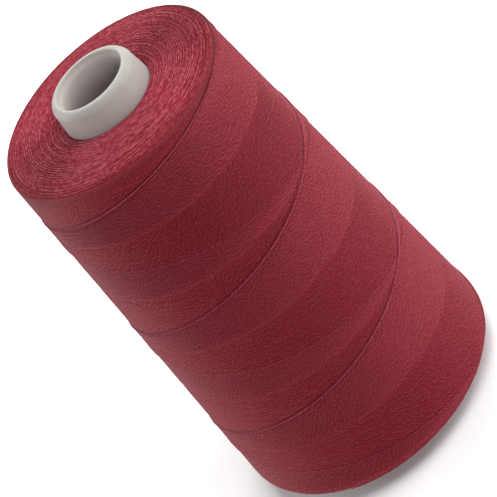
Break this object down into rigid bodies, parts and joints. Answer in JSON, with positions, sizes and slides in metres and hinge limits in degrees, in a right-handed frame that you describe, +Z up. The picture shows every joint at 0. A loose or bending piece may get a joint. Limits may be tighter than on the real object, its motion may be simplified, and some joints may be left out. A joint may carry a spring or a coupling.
{
  "type": "cone of sewing thread",
  "caption": "Tapered cone of cross-wound red sewing thread on a pale moulded plastic core that is open from end to end and stands proud at the top.",
  "frame": {"origin": "centre of the core's foot, on the surface that the cone stands on", "axes": "+Z up along the cone's axis, towards its narrow end; -Y is the front"},
  "size_m": [0.0742, 0.0742, 0.1265],
  "materials": {
    "core_plastic": "pale warm grey moulded polypropylene with a soft satin surface",
    "sewing_thread": "dyed crimson spun polyester sewing thread, with a soft sheen across the turns and a faint fuzz"
  },
  "bodies": {
    "root": {"core_cone": "core_plastic", "thread_winding": "sewing_thread"}
  },
  "joints": []
}
